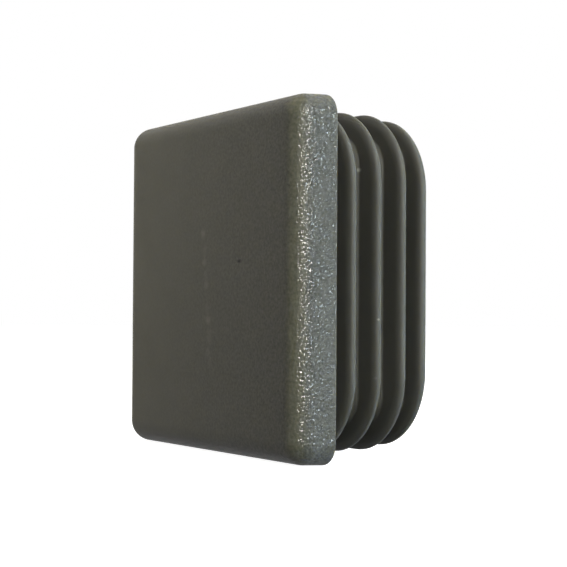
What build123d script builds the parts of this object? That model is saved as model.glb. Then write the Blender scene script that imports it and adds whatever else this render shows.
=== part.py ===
"""Ribbed end cap for a square tube.

A thick head with rounded edges closes the tube, and a hollow stem carries thin fins
that bend as it is pushed in. The whole cap is one moulding. Millimetres. The tube's
axis is Y, the stem points to +Y and Z is up. The origin is on the axis, in the plane
of the shoulder, where the cut end of the tube seats.
"""
from build123d import *
import os

# The square tube that the cap closes
TUBE_WIDTH = 40.0
TUBE_WALL = 1.0

# Head
HEAD_THICKNESS = 5.1
HEAD_ROUNDING = 2.6          # the front edges and the corners, which meet in a ball
HEAD_DRAFT = 2.5             # degrees that the sides lean in towards the face
FACE_WALL = 2.6              # plastic between the face and the floor of the hollow

# Fins, from the shoulder to the rim: equal ones, then a smaller one that leads in
FIN_COUNT = 3
FIRST_FIN = 2.79             # from the shoulder to the middle of the first fin
FIN_PITCH = 3.38
FIN_SQUEEZE = 0.3            # how far a crest reaches past the bore's wall, unbent
FIN_HEIGHT = 3.1             # from the side of the stem to the crest
FIN_CORNER_RADIUS = 8.8
FIN_CREST = 1.0              # thickness at the crest
FIN_ROOT = 1.3               # thickness at the stem
CREST_BEVEL = 0.3            # eases both edges of a crest
LEAD_FIN_PITCH = 3.06
LEAD_FIN_RELIEF = 0.4        # how far the lead fin's crest lies inside the others

# Stem
STEM_CORNER_RADIUS = 3.5
STEM_WALL = 1.7              # at the rim
STEM_PAST_FINS = 1.4         # from the middle of the lead fin to the rim
HOLLOW_DRAFT = 1.0           # degrees that the hollow narrows towards its floor
SHOULDER_FILLET = 0.4        # where the stem leaves the shoulder
FLOOR_BEVEL = 0.5
RIM_BEVEL = 0.4              # inside and outside

# Places that follow from the sizes above
FIN_REACH = TUBE_WIDTH / 2 - TUBE_WALL + FIN_SQUEEZE
STEM_HALF = FIN_REACH - FIN_HEIGHT
HOLLOW_HALF = STEM_HALF - STEM_WALL
FIN_PLACES = [FIRST_FIN + i * FIN_PITCH for i in range(FIN_COUNT)]
LEAD_FIN_PLACE = FIN_PLACES[-1] + LEAD_FIN_PITCH
STEM_LENGTH = LEAD_FIN_PLACE + STEM_PAST_FINS
HOLLOW_DEPTH = STEM_LENGTH + HEAD_THICKNESS - FACE_WALL

TOWARDS_FACE = (0, -1, 0)
TOWARDS_RIM = (0, 1, 0)
NEAR = 0.01                  # finds an edge by its place


def plane_at(y, facing):
    """The plane square to the tube at y."""
    return Plane(origin=(0, y, 0), x_dir=(1, 0, 0), z_dir=facing)


def rounded_square(half_width, corner_radius):
    """A square section of the cap, with its four corners rounded."""
    return RectangleRounded(2 * half_width, 2 * half_width, corner_radius)


def edges_at(body, y, reach):
    """The edges of the body that lie square to the tube at y, within reach of its axis."""
    level = body.edges().filter_by_position(Axis.Y, y - NEAR, y + NEAR)

    def within(edge):
        return all(max(abs(v.X), abs(v.Z)) < reach + NEAR for v in edge.vertices())

    return level.filter_by(within)


def make_head():
    """The block that closes the tube: every edge rounded but the shoulder's."""
    outline = Rectangle(TUBE_WIDTH, TUBE_WIDTH)
    block = extrude(plane_at(0, TOWARDS_FACE) * outline, HEAD_THICKNESS, taper=HEAD_DRAFT)
    shoulder_edges = block.edges().group_by(Axis.Y)[-1]
    return fillet(block.edges() - shoulder_edges, HEAD_ROUNDING)


def add_stem(body):
    """Add the stem to the head: a fillet at its foot and a bevel at its rim."""
    section = rounded_square(STEM_HALF, STEM_CORNER_RADIUS)
    body += extrude(plane_at(0, TOWARDS_RIM) * section, STEM_LENGTH)
    body = fillet(edges_at(body, 0, STEM_HALF), SHOULDER_FILLET)
    return chamfer(edges_at(body, STEM_LENGTH, STEM_HALF), RIM_BEVEL)


def fin_profile(place, reach):
    """Half of a fin cut along the tube: it thins from the root to the crest."""
    root = STEM_HALF - STEM_WALL / 2
    flare = (FIN_ROOT - FIN_CREST) / FIN_HEIGHT
    half_crest = FIN_CREST / 2
    half_root = half_crest + flare * (reach - root) / 2
    outline = Polyline(
        (root, place - half_root),
        (reach - CREST_BEVEL, place - half_crest),
        (reach, place - half_crest + CREST_BEVEL),
        (reach, place + half_crest - CREST_BEVEL),
        (reach - CREST_BEVEL, place + half_crest),
        (root, place + half_root),
        close=True,
    )
    return make_face(outline)


def make_fin(place, reach):
    """A fin carried all round the stem, with its own wide corners."""
    crest = plane_at(place, TOWARDS_RIM) * rounded_square(reach, FIN_CORNER_RADIUS)
    return sweep(fin_profile(place, reach), path=crest.wire())


def make_hollow():
    """The space inside the stem, narrowing from its mouth to its floor."""
    radius = STEM_CORNER_RADIUS - STEM_WALL
    mouth = plane_at(STEM_LENGTH, TOWARDS_FACE) * rounded_square(HOLLOW_HALF, radius)
    hollow = extrude(mouth, HOLLOW_DEPTH, taper=HOLLOW_DRAFT)
    return chamfer(hollow.edges().group_by(Axis.Y)[0], FLOOR_BEVEL)


def make_cap():
    """The whole cap."""
    body = add_stem(make_head())
    for place in FIN_PLACES:
        body += make_fin(place, FIN_REACH)
    body += make_fin(LEAD_FIN_PLACE, FIN_REACH - LEAD_FIN_RELIEF)
    body -= make_hollow()
    return chamfer(edges_at(body, STEM_LENGTH, HOLLOW_HALF), RIM_BEVEL)


os.makedirs("parts", exist_ok=True)
export_step(make_cap(), "parts/end_cap.step")
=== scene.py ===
"""Ribbed end cap for a square tube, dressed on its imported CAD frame.

The cap is one moulding, so it is one skin: a stack of rounded-square rings that runs
over the head, along the stem and its fins, round the rim and down into the hollow.
Blender's unit is the metre. +Y runs along the tube, the face looks along -Y, +Z is up.
"""

import math

import bpy
from mathutils import Matrix, Vector


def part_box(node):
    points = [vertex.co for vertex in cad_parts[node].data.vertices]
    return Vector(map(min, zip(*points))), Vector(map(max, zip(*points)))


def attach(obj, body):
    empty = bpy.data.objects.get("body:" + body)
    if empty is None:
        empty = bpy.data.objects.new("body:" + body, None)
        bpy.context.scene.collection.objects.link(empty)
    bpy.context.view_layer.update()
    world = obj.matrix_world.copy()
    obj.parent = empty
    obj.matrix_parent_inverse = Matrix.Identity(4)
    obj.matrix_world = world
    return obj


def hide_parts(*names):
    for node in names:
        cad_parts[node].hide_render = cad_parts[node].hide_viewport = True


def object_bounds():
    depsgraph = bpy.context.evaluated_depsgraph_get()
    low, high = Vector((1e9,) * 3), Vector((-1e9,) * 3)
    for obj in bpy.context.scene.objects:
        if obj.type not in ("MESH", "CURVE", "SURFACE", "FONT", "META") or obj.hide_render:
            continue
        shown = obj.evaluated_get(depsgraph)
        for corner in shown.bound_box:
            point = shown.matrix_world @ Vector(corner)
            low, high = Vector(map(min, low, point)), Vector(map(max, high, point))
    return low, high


bl_info = {
    "name": "Ribbed End Cap",
    "version": (1, 0, 0),
    "blender": (4, 5, 0),
    "location": "View3D > Sidebar > End Cap",
    "description": "Moulds a ribbed end cap for a square tube and sets up its stage",
    "category": "Object",
}

MM = 0.001
CAD_NODE = "end_cap"
SEAM = 0.002 * MM            # points nearer than this are one
FEWEST_FACES = 1000          # a skin with fewer has lost a part

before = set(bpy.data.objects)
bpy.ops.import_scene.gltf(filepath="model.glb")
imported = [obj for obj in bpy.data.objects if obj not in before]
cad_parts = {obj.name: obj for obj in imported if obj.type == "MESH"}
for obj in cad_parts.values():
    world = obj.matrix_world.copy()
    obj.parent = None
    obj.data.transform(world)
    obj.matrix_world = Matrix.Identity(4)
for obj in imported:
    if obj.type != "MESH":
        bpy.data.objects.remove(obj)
cad_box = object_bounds()
head_half = cad_box[1].x
face_depth = -cad_box[0].y
stem_end = cad_box[1].y


# Sizes and colours that a user would change

def length(name, description, default):
    """A size in metres."""
    return bpy.props.FloatProperty(
        name=name, description=description, default=default, unit="LENGTH", subtype="DISTANCE",
        precision=5,
    )


def tint(name, description, default):
    """A colour, held as linear light."""
    return bpy.props.FloatVectorProperty(
        name=name, description=description, default=default, size=3, subtype="COLOR",
        min=0.0, max=1.0,
    )


def linear(hex_code):
    """The linear red, green and blue of an sRGB hex colour."""
    parts = [int(hex_code[i:i + 2], 16) / 255 for i in (1, 3, 5)]
    return tuple(c / 12.92 if c <= 0.04045 else ((c + 0.055) / 1.055) ** 2.4 for c in parts)


class EndCapSizes(bpy.types.PropertyGroup):
    """Sizes of the moulding."""

    head_rounding: length("Head Rounding", "Radius of the head's edges and corners", 2.6 * MM)
    head_draft: bpy.props.FloatProperty(
        name="Head Draft", description="How far the head's sides lean in towards the face",
        default=math.radians(2.5), subtype="ANGLE",
    )
    shoulder_edge: length("Shoulder Edge", "Softening of the edge round the shoulder", 0.08 * MM)
    shoulder_fillet: length("Shoulder Fillet", "Fillet at the foot of the stem", 0.4 * MM)
    face_wall: length("Face Wall", "Plastic between the face and the hollow", 2.6 * MM)
    stem_half: length("Stem Half Width", "From the axis to the side of the stem", 16.2 * MM)
    stem_corner: length("Stem Corner", "Corner radius of the stem", 3.5 * MM)
    stem_wall: length("Stem Wall", "Wall of the stem at the rim", 1.7 * MM)
    hollow_draft: bpy.props.FloatProperty(
        name="Hollow Draft", description="How far the hollow narrows towards its floor",
        default=math.radians(1.0), subtype="ANGLE",
    )
    floor_fillet: length("Floor Fillet", "Fillet round the floor of the hollow", 0.6 * MM)
    rim_rounding: length("Rim Rounding", "Rounding of both edges of the rim", 0.4 * MM)
    fin_count: bpy.props.IntProperty(
        name="Fins", description="Equal fins, apart from the lead fin", default=3, min=1, max=12,
    )
    first_fin: length("First Fin", "From the shoulder to the middle of the first fin", 2.79 * MM)
    fin_pitch: length("Fin Pitch", "From one fin to the next", 3.38 * MM)
    fin_reach: length("Fin Reach", "From the axis to the crest of a fin", 19.3 * MM)
    fin_corner: length("Fin Corner", "Corner radius of a fin's crest", 8.8 * MM)
    fin_root: length("Fin Root", "Thickness of a fin at the stem", 1.3 * MM)
    crest_to_head: length(
        "Crest Towards Head", "From a fin's middle to its side near the head", 0.58 * MM)
    crest_to_rim: length(
        "Crest Towards Rim", "From a fin's middle to its side near the rim", 0.30 * MM)
    lead_crest_to_rim: length("Lead Crest Towards Rim", "The same on the lead fin", 0.39 * MM)
    rounding_down: length(
        "Crest Rounding", "How far the crest rounds down towards the head", 1.05 * MM)
    rim_edge: length("Crest Edge", "Radius of the crest's edge near the rim", 0.22 * MM)
    root_fillet: length("Root Fillet", "Fillet where a fin leaves the stem", 0.25 * MM)
    lead_fin_pitch: length("Lead Fin Pitch", "From the last equal fin to the lead fin", 3.06 * MM)
    lead_fin_relief: length(
        "Lead Fin Relief", "How far the lead fin stays inside the rest", 0.4 * MM)
    corner_segments: bpy.props.IntProperty(
        name="Corner Segments", description="Faces round each corner of a ring", default=24,
        min=4, max=64,
    )


class EndCapFinish(bpy.types.PropertyGroup):
    """Colour and grain of the plastic, and a painted glow along the face's +X edge."""

    plastic: tint("Plastic", "Body colour of the polyethylene", linear("#53524c"))
    # Not a colour of the plastic: a painted olive glow on the face's +X edge, standing in for light
    # that bleeds round the rounding into its shade
    edge_glow: tint(
        "Painted Edge Glow", "Colour of the +X edge of the face, where a glow is painted", linear("#656456"))
    grain: length("Grain", "Width of a bump of the eroded grain on the head", 0.36 * MM)
    grain_depth: length("Grain Depth", "Height of the grain's bumps", 0.10 * MM)


class EndCapStage(bpy.types.PropertyGroup):
    """The floor, the lamps and the camera."""

    lens: bpy.props.FloatProperty(
        name="Lens", description="Focal length on a 36 mm sensor", default=88.81, min=20.0,
        unit="CAMERA",
    )


# Small tools for node trees

def add_node(tree, kind, settings=None, **links):
    """Add a node, set its properties and wire or fill its inputs by name, or by place as i0, i1."""
    node = tree.nodes.new(kind)
    for key, value in (settings or {}).items():
        setattr(node, key, value)
    for key, value in links.items():
        numbered = key[0] == "i" and key[1:].isdigit()
        socket = node.inputs[int(key[1:]) if numbered else key.replace("_", " ")]
        if isinstance(value, bpy.types.NodeSocket):
            tree.links.new(value, socket)
        else:
            socket.default_value = value
    return node


def by_place(values):
    """Values named for a node's inputs in their order."""
    return {f"i{i}": value for i, value in enumerate(values)}


def add_math(tree, operation, *values):
    """A math node's result, from sockets or numbers."""
    return add_node(tree, "ShaderNodeMath", {"operation": operation}, **by_place(values)).outputs[0]


def add_whole(tree, operation, *values):
    """An integer math node's result, from sockets or whole numbers."""
    settings = {"operation": operation}
    return add_node(tree, "FunctionNodeIntegerMath", settings, **by_place(values)).outputs[0]


def add_vector(tree, operation, *values):
    """A vector math node's result, from sockets or triples."""
    settings = {"operation": operation}
    return add_node(tree, "ShaderNodeVectorMath", settings, **by_place(values)).outputs[0]


# The cap's outline: points of (half width, place along the tube, corner radius)

# Faces across each rounding of the outline
HEAD_STEPS, EDGE_STEPS, FILLET_STEPS, RIM_STEPS, CREST_STEPS, ROOT_STEPS = 14, 4, 6, 6, 8, 5

# Extra points that hold a flat part flat, as shares of its width or length
FACE_PLACES = (0.0, 0.5, 0.96)
FLANK_PLACES = (0.08, 0.5, 0.92)
FLOOR_PLACES = ((0.9, 0.5), (0.5, 0.0), (0.0, 0.0))
HELD = 4                     # such a point's way from an edge, in radii of the shoulder's edge


def arc(centre, radius, start, end, steps):
    """Points on an arc, with the angles in degrees."""
    points = []
    for i in range(steps + 1):
        angle = math.radians(start + (end - start) * i / steps)
        points.append((centre[0] + radius * math.cos(angle), centre[1] + radius * math.sin(angle)))
    return points


def with_corner(points, base_half, base_corner):
    """Give each point the corner radius of a ring offset from a base ring."""
    return [(x, y, base_corner + x - base_half) for x, y in points]


def head_outline(s):
    """From the middle of the face, round the edges and over the shoulder to the stem."""
    r = s.head_rounding
    a = s.head_draft
    cy = r - face_depth
    cx = head_half + (cy * math.sin(a) - r) / math.cos(a)
    points = [(share * cx, -face_depth, 0.0) for share in FACE_PLACES]
    rounding = arc((cx, cy), r, -90, -math.degrees(a), HEAD_STEPS)
    points += with_corner(rounding, cx, 0.0)
    e = s.shoulder_edge
    for y in (0.9 * rounding[-1][1], -HELD * e):
        points.append((head_half + y * math.tan(a), y, r))
    edge = arc((head_half - e * (1 + math.tan(a)), -e), e, -math.degrees(a), 90, EDGE_STEPS)
    points += with_corner(edge, head_half, r)
    foot = s.stem_half + s.shoulder_fillet
    foot_corner = s.stem_corner + s.shoulder_fillet
    points += [(head_half - HELD * e, 0.0, r), (foot + HELD * e, 0.0, foot_corner + HELD * e)]
    fillet = arc((foot, s.shoulder_fillet), s.shoulder_fillet, -90, -180, FILLET_STEPS)
    points += with_corner(fillet, s.stem_half, s.stem_corner)
    points.append((s.stem_half, s.first_fin - s.fin_pitch / 2, s.stem_corner))
    return points


def fin_flank(s, reach, crest_half, depth, width):
    """Half of a fin, from its fillet to the middle of its crest.

    depth and width are the two half axes of the rounding: along the flank and across
    the crest.
    """
    root = s.stem_half
    slope = (s.fin_root / 2 - crest_half) / (s.fin_reach - root)
    lean = math.degrees(math.atan(slope))
    unit = arc((0.0, 0.0), 1.0, 90 - lean, 0, CREST_STEPS)
    crest = [(reach - depth + depth * x, crest_half - width + width * y) for x, y in unit]
    crest = with_corner(crest, reach, s.fin_corner)
    f = s.root_fillet
    foot_y = s.fin_root / 2 - slope * f
    fillet = arc((root + f, foot_y + f), f, -180, -90 - lean, ROOT_STEPS)
    fillet = with_corner(fillet, root, s.stem_corner)
    low, high = fillet[-1], crest[0]
    flank = [tuple(a + (b - a) * share for a, b in zip(low, high)) for share in FLANK_PLACES]
    return fillet + flank + crest


def fin_outline(s, reach, crest_to_rim):
    """One fin about its own middle, fillet to fillet. Its side near the head is the rounder."""
    near_head = fin_flank(s, reach, s.crest_to_head, s.rounding_down, s.crest_to_head)
    near_rim = fin_flank(s, reach, crest_to_rim, s.rim_edge, s.rim_edge)
    return [(x, -y, c) for x, y, c in near_head] + near_rim[::-1]


def lead_outline(s):
    """The lead fin, the rim and the hollow, about the middle of the lead fin."""
    lead_place = s.first_fin + (s.fin_count - 1) * s.fin_pitch + s.lead_fin_pitch
    rim = stem_end - lead_place
    floor = s.face_wall - face_depth - lead_place
    r = s.rim_rounding
    points = [(s.stem_half, s.fin_pitch / 2 - s.lead_fin_pitch, s.stem_corner)]
    points += fin_outline(s, s.fin_reach - s.lead_fin_relief, s.lead_crest_to_rim)
    outer = arc((s.stem_half - r, rim - r), r, 0, 90, RIM_STEPS)
    points += with_corner(outer, s.stem_half, s.stem_corner)
    mouth = s.stem_half - s.stem_wall
    mouth_corner = s.stem_corner - s.stem_wall
    inner = arc((mouth + r, rim - r), r, 90, 180, RIM_STEPS)
    points += with_corner(inner, mouth, mouth_corner)
    narrowing = (rim - floor) * math.tan(s.hollow_draft)
    base = mouth - narrowing
    base_corner = mouth_corner - narrowing
    f = s.floor_fillet
    lip = HELD * s.shoulder_edge
    points.append((mouth - 0.1 * lip, rim - r - lip, mouth_corner))
    low = 0.1 * narrowing
    points.append((base + low, floor + 0.1 * (rim - floor), base_corner + low))
    fillet = arc((base - f, floor + f), f, 0, -90, FILLET_STEPS)
    points += with_corner(fillet, base, base_corner)
    points += [(share * base, floor, corner * base_corner) for share, corner in FLOOR_PLACES]
    return points


def fin_unit(s):
    """One equal fin with the strip of stem on both sides of it, half a pitch each."""
    end = (s.stem_half, s.fin_pitch / 2, s.stem_corner)
    return [(end[0], -end[1], end[2])] + fin_outline(s, s.fin_reach, s.crest_to_rim) + [end]


def outline_mesh(s):
    """The three outlines as loose points, each numbered with its part of the cap."""
    parts = [head_outline(s), fin_unit(s), lead_outline(s)]
    points = [p for part in parts for p in part]
    mesh = bpy.data.meshes.new("cap_outline")
    mesh.from_pydata(points, [], [])
    number = mesh.attributes.new("part", "INT", "POINT")
    number.data.foreach_set("value", [i for i, part in enumerate(parts) for _ in part])
    return mesh


# Geometry nodes

SLIDE = 0.12                 # a ring's extra points past each corner, as a share of the straight
FACE_SHARE = 0.9             # past this share of the head's depth, all skin is its face
SHOULDER_GAP = 0.02 * MM     # the head's finish stops this far before the shoulder


def ring_tree():
    """A node group that skins an outline with rounded-square rings."""
    tree = bpy.data.node_groups.new("Rounded Square Skin", "GeometryNodeTree")
    face = tree.interface
    face.new_socket("Outline", in_out="INPUT", socket_type="NodeSocketGeometry")
    face.new_socket("Corner Segments", in_out="INPUT", socket_type="NodeSocketInt")
    face.new_socket("Skin", in_out="OUTPUT", socket_type="NodeSocketGeometry")
    given = tree.nodes.new("NodeGroupInput").outputs
    outline, segments = given["Outline"], given["Corner Segments"]
    counts = add_node(tree, "GeometryNodeAttributeDomainSize", Geometry=outline).outputs
    rows = counts["Point Count"]
    per_corner = add_whole(tree, "ADD", segments, 3)
    columns = add_whole(tree, "MULTIPLY_ADD", per_corner, 4, 1)
    grid = add_node(tree, "GeometryNodeMeshGrid", Vertices_X=rows, Vertices_Y=columns)
    index = add_node(tree, "GeometryNodeInputIndex").outputs[0]
    row = add_whole(tree, "DIVIDE_FLOOR", index, columns)
    column = add_whole(tree, "MODULO", index, columns)
    corner_no = add_whole(tree, "DIVIDE_FLOOR", column, per_corner)
    step = add_whole(tree, "SUBTRACT", add_whole(tree, "MODULO", column, per_corner), 1)
    on_arc = add_whole(tree, "MINIMUM", add_whole(tree, "MAXIMUM", step, 0), segments)
    place = add_node(tree, "GeometryNodeInputPosition").outputs[0]
    sample = add_node(
        tree, "GeometryNodeSampleIndex", {"data_type": "FLOAT_VECTOR", "domain": "POINT"},
        Geometry=outline, Value=place, Index=row,
    ).outputs["Value"]
    ring = add_node(tree, "ShaderNodeSeparateXYZ", Vector=sample).outputs
    half, along, radius = ring["X"], ring["Y"], ring["Z"]
    turn = add_math(tree, "MULTIPLY", add_math(tree, "DIVIDE", on_arc, segments), math.pi / 2)
    base = add_math(tree, "MULTIPLY", corner_no, math.pi / 2)
    angle = add_math(tree, "ADD", turn, base)
    straight = add_math(tree, "SUBTRACT", half, radius)
    diagonal = add_math(tree, "ADD", base, math.pi / 4)
    out = add_math(tree, "MULTIPLY", straight, math.sqrt(2))
    beyond = add_math(tree, "SUBTRACT", step, on_arc)
    slide = add_math(tree, "MULTIPLY", beyond, add_math(tree, "MULTIPLY", straight, SLIDE))
    cos_a, sin_a = add_math(tree, "COSINE", angle), add_math(tree, "SINE", angle)
    x = add_math(tree, "ADD",
                 add_math(tree, "MULTIPLY_ADD", out, add_math(tree, "COSINE", diagonal),
                          add_math(tree, "MULTIPLY", radius, cos_a)),
                 add_math(tree, "MULTIPLY", slide, add_math(tree, "MULTIPLY", sin_a, -1.0)))
    z = add_math(tree, "ADD",
                 add_math(tree, "MULTIPLY_ADD", out, add_math(tree, "SINE", diagonal),
                          add_math(tree, "MULTIPLY", radius, sin_a)),
                 add_math(tree, "MULTIPLY", slide, cos_a))
    point = add_node(tree, "ShaderNodeCombineXYZ", X=x, Y=along, Z=z).outputs[0]
    skin = add_node(tree, "GeometryNodeSetPosition", Geometry=grid.outputs["Mesh"], Position=point)
    result = tree.nodes.new("NodeGroupOutput")
    tree.links.new(skin.outputs[0], result.inputs["Skin"])
    return tree


def cap_tree(plain, eroded):
    """The node tree of the whole cap: head, repeated fins, and lead fin with the hollow."""
    tree = bpy.data.node_groups.new("Ribbed End Cap", "GeometryNodeTree")
    face = tree.interface
    face.new_socket("Outlines", in_out="INPUT", socket_type="NodeSocketGeometry")
    face.new_socket("Corner Segments", in_out="INPUT", socket_type="NodeSocketInt")
    face.new_socket("Fin Count", in_out="INPUT", socket_type="NodeSocketInt")
    for name in ("First Fin", "Fin Pitch", "Lead Fin Pitch", "Stem Half Width"):
        face.new_socket(name, in_out="INPUT", socket_type="NodeSocketFloat")
    face.new_socket("Cap", in_out="OUTPUT", socket_type="NodeSocketGeometry")
    given = tree.nodes.new("NodeGroupInput").outputs
    skin_group = ring_tree()
    number = add_node(
        tree, "GeometryNodeInputNamedAttribute", {"data_type": "INT"}, Name="part",
    ).outputs["Attribute"]

    def skin_of(part):
        settings = {"data_type": "INT", "operation": "EQUAL"}
        chosen = add_node(tree, "FunctionNodeCompare", settings, i2=number, i3=part).outputs[0]
        piece = add_node(
            tree, "GeometryNodeSeparateGeometry", {"domain": "POINT"},
            Geometry=given["Outlines"], Selection=chosen,
        ).outputs["Selection"]
        return add_node(
            tree, "GeometryNodeGroup", {"node_tree": skin_group},
            Outline=piece, Corner_Segments=given["Corner Segments"],
        ).outputs["Skin"]

    first = add_node(tree, "ShaderNodeCombineXYZ", Y=given["First Fin"]).outputs[0]
    pitch = add_node(tree, "ShaderNodeCombineXYZ", Y=given["Fin Pitch"]).outputs[0]
    places = add_node(
        tree, "GeometryNodeMeshLine", {"mode": "OFFSET"},
        Count=given["Fin Count"], Start_Location=first, Offset=pitch,
    ).outputs[0]
    fins = add_node(
        tree, "GeometryNodeInstanceOnPoints", Points=places, Instance=skin_of(1),
    ).outputs[0]
    gaps = add_whole(tree, "SUBTRACT", given["Fin Count"], 1)
    last = add_math(tree, "MULTIPLY_ADD", given["Fin Pitch"], gaps, given["First Fin"])
    lead_y = add_math(tree, "ADD", last, given["Lead Fin Pitch"])
    lead_shift = add_node(tree, "ShaderNodeCombineXYZ", Y=lead_y).outputs[0]
    lead = add_node(
        tree, "GeometryNodeTransform", Geometry=skin_of(2), Translation=lead_shift,
    ).outputs[0]
    join = tree.nodes.new("GeometryNodeJoinGeometry")
    for piece in (skin_of(0), fins, lead):
        tree.links.new(piece, join.inputs[0])
    solid = add_node(tree, "GeometryNodeRealizeInstances", Geometry=join.outputs[0]).outputs[0]
    sealed = add_node(
        tree, "GeometryNodeMergeByDistance", Geometry=solid, Distance=SEAM,
    ).outputs[0]
    smooth = add_node(tree, "GeometryNodeSetShadeSmooth", Geometry=sealed).outputs[0]
    place = add_node(tree, "GeometryNodeInputPosition").outputs[0]
    x, along, z = add_node(tree, "ShaderNodeSeparateXYZ", Vector=place).outputs
    half = add_math(tree, "MAXIMUM", add_math(tree, "ABSOLUTE", x), add_math(tree, "ABSOLUTE", z))
    outside = add_math(tree, "ADD", add_math(tree, "GREATER_THAN", half, given["Stem Half Width"]),
                       add_math(tree, "LESS_THAN", along, FACE_SHARE * -face_depth))
    before = add_math(tree, "LESS_THAN", along, -SHOULDER_GAP)
    on_head = add_math(tree, "MULTIPLY", outside, before)
    whole = add_node(tree, "GeometryNodeSetMaterial", Geometry=smooth, Material=plain).outputs[0]
    finish = add_node(
        tree, "GeometryNodeSetMaterial", Geometry=whole, Selection=on_head, Material=eroded,
    )
    result = tree.nodes.new("NodeGroupOutput")
    tree.links.new(finish.outputs[0], result.inputs["Cap"])
    return tree


def bake_nodes(name, mesh, tree, values):
    """Run a geometry node tree on a mesh and keep the result as a plain object."""
    source = bpy.data.objects.new(name + "_source", mesh)
    bpy.context.scene.collection.objects.link(source)
    modifier = source.modifiers.new("build", "NODES")
    modifier.node_group = tree
    for item in tree.interface.items_tree:
        if item.item_type == "SOCKET" and item.in_out == "INPUT" and item.name in values:
            modifier[item.identifier] = values[item.name]
    bpy.context.view_layer.update()
    graph = bpy.context.evaluated_depsgraph_get()
    result = bpy.data.meshes.new_from_object(source.evaluated_get(graph), depsgraph=graph)
    result.name = name
    bpy.data.objects.remove(source)
    bpy.data.meshes.remove(mesh)
    piece = bpy.data.objects.new(name, result)
    bpy.context.scene.collection.objects.link(piece)
    return piece


# Materials

MOTTLE_WIDTH = 4 * MM
MOTTLE_TONES = (0.97, 1.03)          # darkest and lightest, as shares of the body colour
# The face's fine speckle is painted shade: the light and shade of the grain's relief, put into the
# colour
SHADE_SPECKLE_WIDTH = 0.93                 # as a share of the grain's width
SHADE_SPECKLE_REACH = (-0.5, 0.9)          # from where to where it grows, in half widths of the head
FINE_WIDTH, FINE_HEIGHT = 0.55, 0.35     # the fine relief on the grain, as shares of it
BODY_RELIEF = 0.2                    # the grain's depth below the gloss, as a share
GRAIN_START, GRAIN_FULL = 0.45 * MM, 0.95 * MM   # behind the face
FACE_GRAIN = (0.05, 0.3)             # its strength at the -X and the +X edge of the face
# Where the painted glow along the +X edge of the face lies, standing in for light that bleeds round
# the rounding into its shade
GLOW_RISE = (0.0, 0.25 * MM)          # behind the face: the painted glow comes in
GLOW_FALL = (0.8 * MM, 1.9 * MM)      # behind the face: it fades out
GLOW_SIDE = (3.0 * MM, 1.8 * MM)      # from the +X side of the head: it comes in


def polyethylene(name, finish, settings):
    """Start a material for the moulding: low-density polyethylene, which is dull and waxy.

    Light enters it for a fraction of a millimetre, which softens its edges a little.
    """
    material = bpy.data.materials.new(name)
    material.use_nodes = True
    tree = material.node_tree
    tree.nodes.clear()
    shader = add_node(
        tree, "ShaderNodeBsdfPrincipled", {"subsurface_method": "RANDOM_WALK"},
        Base_Color=(*finish.plastic, 1.0), Subsurface_Weight=1.0,
        Subsurface_Radius=(1.0, 0.9, 0.5), Subsurface_Scale=0.2 * MM, **settings,
    )
    out = tree.nodes.new("ShaderNodeOutputMaterial")
    tree.links.new(shader.outputs[0], out.inputs["Surface"])
    return material, tree, shader


# Small marks of moulding and handling, in millimetres: place on the skin, reach along X, Y
# and Z, and how much lighter (+) or darker (-) than the body they are at the middle.
HEAD_MARKS = [
    ((0.05, -5.1, 5.5), (0.75, 0.5, 0.75), 0.3),
    ((0.5, -5.1, 3.6), (0.6, 0.5, 1.0), 0.12),
    ((0.4, -5.1, 2.2), (0.75, 0.5, 0.6), 0.25),
    ((0.75, -5.1, 0.8), (0.6, 0.5, 0.9), 0.1),
    ((0.84, -5.1, -0.4), (0.65, 0.5, 0.7), 0.26),
    ((1.2, -5.1, -3.2), (0.6, 0.5, 1.0), 0.13),
    ((1.37, -5.1, -4.5), (0.65, 0.5, 0.7), 0.32),
    ((1.7, -5.1, -6.4), (0.8, 0.5, 1.4), 0.14),
    ((1.4, -5.1, -8.2), (0.75, 0.5, 0.7), 0.2),
    ((1.8, -5.1, -9.3), (0.6, 0.5, 1.0), 0.12),
    ((8.25, -5.1, 2.1), (0.6, 0.5, 0.3), -0.65),
]
# Nicks on the stem's corner and on two crests: lighter spots, partly the nick's own pale colour and
# partly a painted highlight where the nick catches the light
FIN_NICKS_AND_HIGHLIGHTS = [
    ((16.25, 5.42, 12.25), (0.6, 0.24, 0.3), 2.2),
    ((19.3, 6.05, -4.3), (0.4, 0.2, 0.16), 1.5),
    ((19.2, 5.8, -10.7), (0.5, 0.25, 0.2), 0.4),
]


def add_fade(tree, value, reach, ends):
    """A value carried from one range to another, and held beyond its ends."""
    return add_node(
        tree, "ShaderNodeMapRange", Value=value, From_Min=reach[0], From_Max=reach[1],
        To_Min=ends[0], To_Max=ends[1],
    ).outputs[0]


def add_edge_glow(tree, place):
    """One along the +X edge of the face, where the glow is painted, and nought elsewhere."""
    across, along, _ = add_node(tree, "ShaderNodeSeparateXYZ", Vector=place).outputs
    lift = add_math(tree, "ADD", along, face_depth)
    start = add_fade(tree, lift, GLOW_RISE, (0.0, 1.0))
    end = add_fade(tree, lift, GLOW_FALL, (1.0, 0.0))
    side = add_fade(tree, across, [head_half - inset for inset in GLOW_SIDE], (0.0, 1.0))
    return add_math(tree, "MULTIPLY", side, add_math(tree, "MULTIPLY", start, end))


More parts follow.
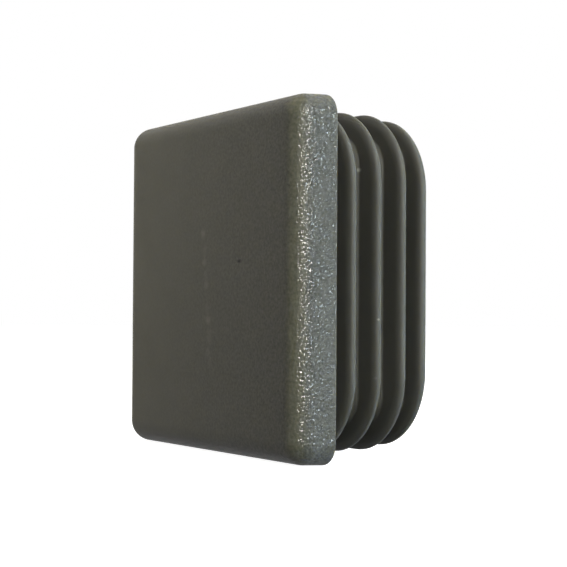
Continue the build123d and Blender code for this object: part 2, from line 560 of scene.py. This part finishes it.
def add_marks(tree, shader, finish, marks, speckle=0.0):
    """Give the body colour a slow mottle, a fine speckle, its small marks and an edge glow.

    The speckle is painted shade of the grain's relief, and the glow on the +X edge of the
    face is painted light. All are faint.
    """
    place = add_node(tree, "ShaderNodeTexCoord").outputs["Object"]
    mottle = add_node(
        tree, "ShaderNodeTexNoise", Vector=place, Scale=1 / MOTTLE_WIDTH, Detail=2.0,
    ).outputs["Fac"]
    tone = add_fade(tree, mottle, (0.3, 0.7), MOTTLE_TONES)
    # Painted shade of the grain's relief, as a fine speckle that grows towards +X
    across = add_node(tree, "ShaderNodeSeparateXYZ", Vector=place).outputs["X"]
    growth = [share * head_half for share in SHADE_SPECKLE_REACH]
    shade_amount = add_fade(tree, across, growth, (0.15 * speckle, speckle))
    fine = add_node(
        tree, "ShaderNodeTexNoise", Vector=place, Scale=1 / (SHADE_SPECKLE_WIDTH * finish.grain),
        Detail=1.0,
    ).outputs["Fac"]
    tone = add_math(tree, "MULTIPLY_ADD", add_math(tree, "SUBTRACT", fine, 0.5), shade_amount, tone)
    for centre, reach, shade in marks:
        off = add_vector(tree, "SUBTRACT", place, [c * MM for c in centre])
        off = add_vector(tree, "DIVIDE", off, [r * MM for r in reach])
        length_of = add_node(tree, "ShaderNodeVectorMath", {"operation": "LENGTH"}, i0=off)
        away = length_of.outputs["Value"]
        tone = add_math(tree, "ADD", tone, add_fade(tree, away, (0.3, 1.0), (shade, 0.0)))
    # The painted glow: the colour goes lighter and more olive along the +X edge of the face
    change = [b - a for a, b in zip(finish.plastic, finish.edge_glow)]
    colour = add_vector(tree, "MULTIPLY_ADD", change, add_edge_glow(tree, place), finish.plastic)
    colour = add_node(
        tree, "ShaderNodeVectorMath", {"operation": "SCALE"}, i0=colour, Scale=tone,
    ).outputs[0]
    tree.links.new(colour, shader.inputs["Base Color"])


def eroded_polyethylene(finish):
    """The head's finish. Its mould was spark eroded, so the skin is a fine random relief.

    A thin gloss on it throws hard little glints, over a body that stays soft and even. On
    the face the relief is faint, and its shade is painted into the colour as a fine speckle
    that grows towards +X.
    """
    material, tree, shader = polyethylene(
        "Spark-Eroded Polyethylene", finish,
        {"Roughness": 0.5, "Specular_IOR_Level": 0.0, "Coat_Weight": 0.3, "Coat_IOR": 1.51,
         "Coat_Roughness": 0.14},
    )
    place = add_node(tree, "ShaderNodeTexCoord").outputs["Object"]
    cell = add_node(tree, "ShaderNodeTexVoronoi", Vector=place, Scale=1 / finish.grain).outputs
    square = add_math(tree, "MULTIPLY", cell["Distance"], cell["Distance"])
    dome = add_math(tree, "MULTIPLY", square, -1.0)
    fine = add_node(
        tree, "ShaderNodeTexNoise", Vector=place, Scale=1 / (FINE_WIDTH * finish.grain),
        Detail=0.0,
    ).outputs["Fac"]
    relief = add_math(tree, "MULTIPLY_ADD", fine, FINE_HEIGHT, dome)
    across, along, _ = add_node(tree, "ShaderNodeSeparateXYZ", Vector=place).outputs
    faint = add_fade(tree, across, (-head_half, head_half), FACE_GRAIN)
    strength = add_node(
        tree, "ShaderNodeMapRange", {"interpolation_type": "SMOOTHSTEP"}, Value=along,
        From_Min=GRAIN_START - face_depth, From_Max=GRAIN_FULL - face_depth,
        To_Min=faint, To_Max=1.0,
    ).outputs[0]
    glossy = add_node(
        tree, "ShaderNodeBump", Height=relief, Strength=strength, Distance=finish.grain_depth,
    ).outputs["Normal"]
    soft = add_node(
        tree, "ShaderNodeBump", Height=relief, Strength=strength,
        Distance=BODY_RELIEF * finish.grain_depth,
    ).outputs["Normal"]
    tree.links.new(glossy, shader.inputs["Coat Normal"])
    tree.links.new(soft, shader.inputs["Normal"])
    add_marks(tree, shader, finish, HEAD_MARKS, speckle=0.95)
    return material


def plain_polyethylene(finish):
    """The finish of the stem, the fins and the hollow: a plain mould, so smooth and satin."""
    material, tree, shader = polyethylene(
        "Plain-Moulded Polyethylene", finish,
        {"Roughness": 0.6, "IOR": 1.51, "Specular_IOR_Level": 0.12},
    )
    add_marks(tree, shader, finish, FIN_NICKS_AND_HIGHLIGHTS)
    return material


def add_seen(tree):
    """The light path's outputs, and one for rays that come from the camera, gloss or glass."""
    path = add_node(tree, "ShaderNodeLightPath").outputs
    seen = add_math(tree, "MAXIMUM", path["Is Camera Ray"], path["Is Transmission Ray"])
    return path, add_math(tree, "MAXIMUM", seen, path["Is Glossy Ray"])


def white_surface(name, own_light, seen_colour, colour):
    """A matt board for the stage that looks white and throws little light back on the cap.

    Its own light shows to the camera and in gloss only, and it keeps the cap's shadow.
    """
    material = bpy.data.materials.new(name)
    material.use_nodes = True
    tree = material.node_tree
    tree.nodes.clear()
    path, seen = add_seen(tree)
    grey = add_math(tree, "MULTIPLY_ADD", path["Is Camera Ray"], seen_colour - colour, colour)
    board = add_node(tree, "ShaderNodeBsdfDiffuse", Color=grey).outputs[0]
    strength = add_math(tree, "MULTIPLY", seen, own_light)
    glow = add_node(tree, "ShaderNodeEmission", Strength=strength).outputs[0]
    both = add_node(tree, "ShaderNodeAddShader", i0=board, i1=glow).outputs[0]
    out = tree.nodes.new("ShaderNodeOutputMaterial")
    tree.links.new(both, out.inputs["Surface"])
    return material


# The stage

SKY_LIGHT = 0.09             # the sky's strength on the cap, where 1 is white
LAMP_TARGET = Vector((0.0, 5 * MM, 0.0))     # the lamps look here

# Where the camera stands, the direction from the cap that it looks back along, and its roll
CAMERA_PLACE = (0.14187, -0.08535, -0.00397)
CAMERA_AZIMUTH, CAMERA_ELEVATION, CAMERA_ROLL = 57.187, -1.328, 0.360

# Name, azimuth, elevation, width, height, power, colour and, for a close one, distance. The
# glints come from three small windows on the +X side, the highest one warm and the lowest
# cool. The side lamp is the main soft light, and the rim lamp a cool edge along the fins.
# The high and back lamps fill the corners of the fins and the hollow. The last two are
# small and close: one before the upper half of the face, and one by its -X edge.
LAMPS = [
    ("glint_near", 60, 15, 0.20, 0.09, 7.2, (1.0, 0.97, 0.9)),
    ("glint_high", 75, 42, 0.20, 0.12, 3.4, (1.0, 0.98, 0.95)),
    ("glint_side", 106, 9, 0.12, 0.09, 2.8, (0.77, 0.92, 1.0)),
    ("lamp_side", 110, 0, 0.90, 0.90, 13.6, (0.86, 0.935, 0.865)),
    ("lamp_rim", 135, 5, 0.20, 0.20, 2.4, (0.3, 0.55, 1.0)),
    ("lamp_high", 70, 55, 0.50, 0.50, 0.8, (1.0, 0.86, 0.78)),
    ("lamp_back_high", 165, 50, 0.30, 0.30, 1.4, (1.0, 0.85, 0.6)),
    ("lamp_back", 180, 10, 0.40, 0.40, 2.0, (0.6, 0.75, 1.0)),
    ("lamp_face", 0, 33, 0.04, 0.04, 0.0079, (1.0, 0.98, 0.92), 0.062),
    ("lamp_left", -60, 10, 0.06, 0.06, 0.018, (0.97, 0.9, 0.55), 0.07),
]


def direction(azimuth, elevation):
    """The way out from the cap at two angles in degrees. Azimuth 0 is before the face, 90 at +X."""
    turn, rise = math.radians(azimuth), math.radians(elevation)
    level = math.cos(rise)
    return Vector((math.sin(turn) * level, -math.cos(turn) * level, math.sin(rise)))


def add_lamp(name, azimuth, elevation, width, height, power, colour, distance=0.5):
    """A flat lamp that looks at the cap.

    A glint lamp shows in the gloss only, and the others light the body only.
    """
    lamp = bpy.data.lights.new(name, "AREA")
    lamp.shape = "RECTANGLE"
    lamp.size = width
    lamp.size_y = height
    lamp.energy = power
    lamp.color = colour
    obj = bpy.data.objects.new(name, lamp)
    obj.location = direction(azimuth, elevation) * distance
    bpy.context.scene.collection.objects.link(obj)
    obj.visible_camera = False
    obj.visible_diffuse = not name.startswith("glint")
    obj.visible_glossy = name.startswith("glint")
    looking = LAMP_TARGET - obj.location
    obj.rotation_euler = looking.to_track_quat("-Z", "Y").to_euler()


def add_floor():
    """A wide white floor under the cap."""
    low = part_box(CAD_NODE)[0].z
    bpy.ops.mesh.primitive_plane_add(size=4.0, location=(0.0, 0.0, 0.0))
    floor = bpy.context.object
    floor.name = "floor"
    floor.data.transform(Matrix.Translation((0.0, 0.0, low)))
    floor.data.materials.append(
        white_surface("White Floor Board", own_light=0.95, seen_colour=0.5, colour=0.04))


def add_world():
    """White to the camera, and a dimmer even sky for the light."""
    world = bpy.data.worlds.new("studio")
    bpy.context.scene.world = world
    world.use_nodes = True
    tree = world.node_tree
    tree.nodes.clear()
    _, seen = add_seen(tree)
    strength = add_math(tree, "MULTIPLY_ADD", seen, 1.0 - SKY_LIGHT, SKY_LIGHT)
    sky = add_node(
        tree, "ShaderNodeBackground", Color=(1.0, 1.0, 1.0, 1.0), Strength=strength,
    ).outputs[0]
    out = tree.nodes.new("ShaderNodeOutputWorld")
    tree.links.new(sky, out.inputs["Surface"])


def add_camera(lens):
    """The camera, a little below the cap's middle and well round to its side."""
    camera = bpy.data.cameras.new("camera")
    camera.lens = lens
    camera.sensor_width = 36.0
    camera.clip_start = 0.01
    camera.clip_end = 20.0
    obj = bpy.data.objects.new("camera", camera)
    bpy.context.scene.collection.objects.link(obj)
    back = direction(CAMERA_AZIMUTH, CAMERA_ELEVATION)
    right = direction(CAMERA_AZIMUTH + 90, 0.0)
    up = back.cross(right)
    c, s = math.cos(math.radians(CAMERA_ROLL)), math.sin(math.radians(CAMERA_ROLL))
    basis = Matrix((right * c + up * s, up * c - right * s, back)).transposed()
    obj.matrix_world = Matrix.Translation(CAMERA_PLACE) @ basis.to_4x4()
    bpy.context.scene.camera = obj


# Operators, panel and registration

class ENDCAP_OT_mould(bpy.types.Operator):
    """Mould the whole cap: head, stem, fins and hollow"""

    bl_idname = "endcap.mould"
    bl_label = "Mould Cap"

    def execute(self, context):
        sizes = context.scene.endcap_sizes
        finish = context.scene.endcap_finish
        tree = cap_tree(plain_polyethylene(finish), eroded_polyethylene(finish))
        values = {
            "Corner Segments": sizes.corner_segments,
            "Fin Count": sizes.fin_count,
            "First Fin": sizes.first_fin,
            "Fin Pitch": sizes.fin_pitch,
            "Lead Fin Pitch": sizes.lead_fin_pitch,
            "Stem Half Width": sizes.stem_half,
        }
        cap = bake_nodes("cap_skin", outline_mesh(sizes), tree, values)
        if len(cap.data.polygons) < FEWEST_FACES:
            raise RuntimeError("the cap's skin has lost a part")
        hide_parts(CAD_NODE)
        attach(cap, "root")
        return {"FINISHED"}


class ENDCAP_OT_stage(bpy.types.Operator):
    """Lay the floor, hang the lamps and place the camera"""

    bl_idname = "endcap.stage"
    bl_label = "Set Stage"

    def execute(self, context):
        stage = context.scene.endcap_stage
        add_floor()
        add_world()
        for lamp in LAMPS:
            add_lamp(*lamp)
        add_camera(stage.lens)
        context.scene.view_settings.view_transform = "Standard"
        return {"FINISHED"}


class ENDCAP_PT_panel(bpy.types.Panel):
    """The end cap's sizes, finish and stage"""

    bl_label = "End Cap"
    bl_idname = "ENDCAP_PT_panel"
    bl_space_type = "VIEW_3D"
    bl_region_type = "UI"
    bl_category = "End Cap"

    def draw(self, context):
        scene = context.scene
        for group in (scene.endcap_sizes, scene.endcap_finish, scene.endcap_stage):
            box = self.layout.box()
            for key in group.__annotations__:
                box.prop(group, key)
        self.layout.operator("endcap.mould")
        self.layout.operator("endcap.stage")


CLASSES = (
    EndCapSizes, EndCapFinish, EndCapStage, ENDCAP_OT_mould, ENDCAP_OT_stage, ENDCAP_PT_panel,
)


def register():
    """Register the classes and give the scene their properties."""
    for cls in CLASSES:
        bpy.utils.register_class(cls)
    bpy.types.Scene.endcap_sizes = bpy.props.PointerProperty(type=EndCapSizes)
    bpy.types.Scene.endcap_finish = bpy.props.PointerProperty(type=EndCapFinish)
    bpy.types.Scene.endcap_stage = bpy.props.PointerProperty(type=EndCapStage)


def unregister():
    """Take away what register added."""
    del bpy.types.Scene.endcap_stage
    del bpy.types.Scene.endcap_finish
    del bpy.types.Scene.endcap_sizes
    for cls in reversed(CLASSES):
        bpy.utils.unregister_class(cls)


def main():
    """Register the add-on, mould the cap and set up the stage."""
    register()
    bpy.ops.endcap.mould()
    bpy.ops.endcap.stage()


if __name__ == "__main__":
    main()
